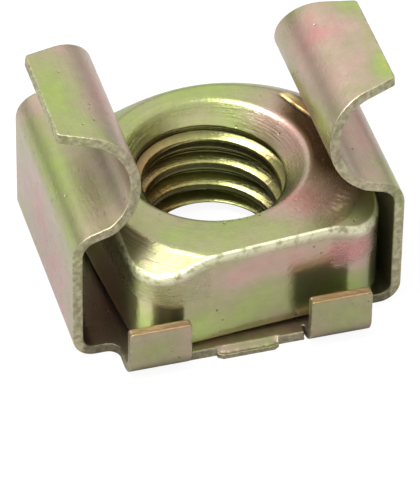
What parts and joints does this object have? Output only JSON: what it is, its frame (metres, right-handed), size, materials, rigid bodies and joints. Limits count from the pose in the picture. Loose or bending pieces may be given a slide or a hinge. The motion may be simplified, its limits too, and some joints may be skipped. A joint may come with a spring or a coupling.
{
  "type": "rack cage nut",
  "caption": "Square nut held loosely in a folded spring-steel cage whose two hooked ears clip into the square hole of a rack rail.",
  "frame": {"origin": "middle of the underside of the cage's base", "axes": "+Z along the thread, from the base towards the ears and the rack rail; the two ears face each other along X; the tabs stand at both ends along Y"},
  "size_m": [0.013, 0.0122, 0.0093],
  "materials": {
    "cage": "yellow zinc plate, iridescent khaki with rose, green and gold, fine scratches and pinholes",
    "square_nut": "yellow zinc plate, iridescent khaki with rose, green and gold, fine scratches and pinholes, with turning marks on the chamfer and the countersink"
  },
  "bodies": {
    "root": {"cage": "cage", "square_nut": "square_nut"}
  },
  "joints": []
}
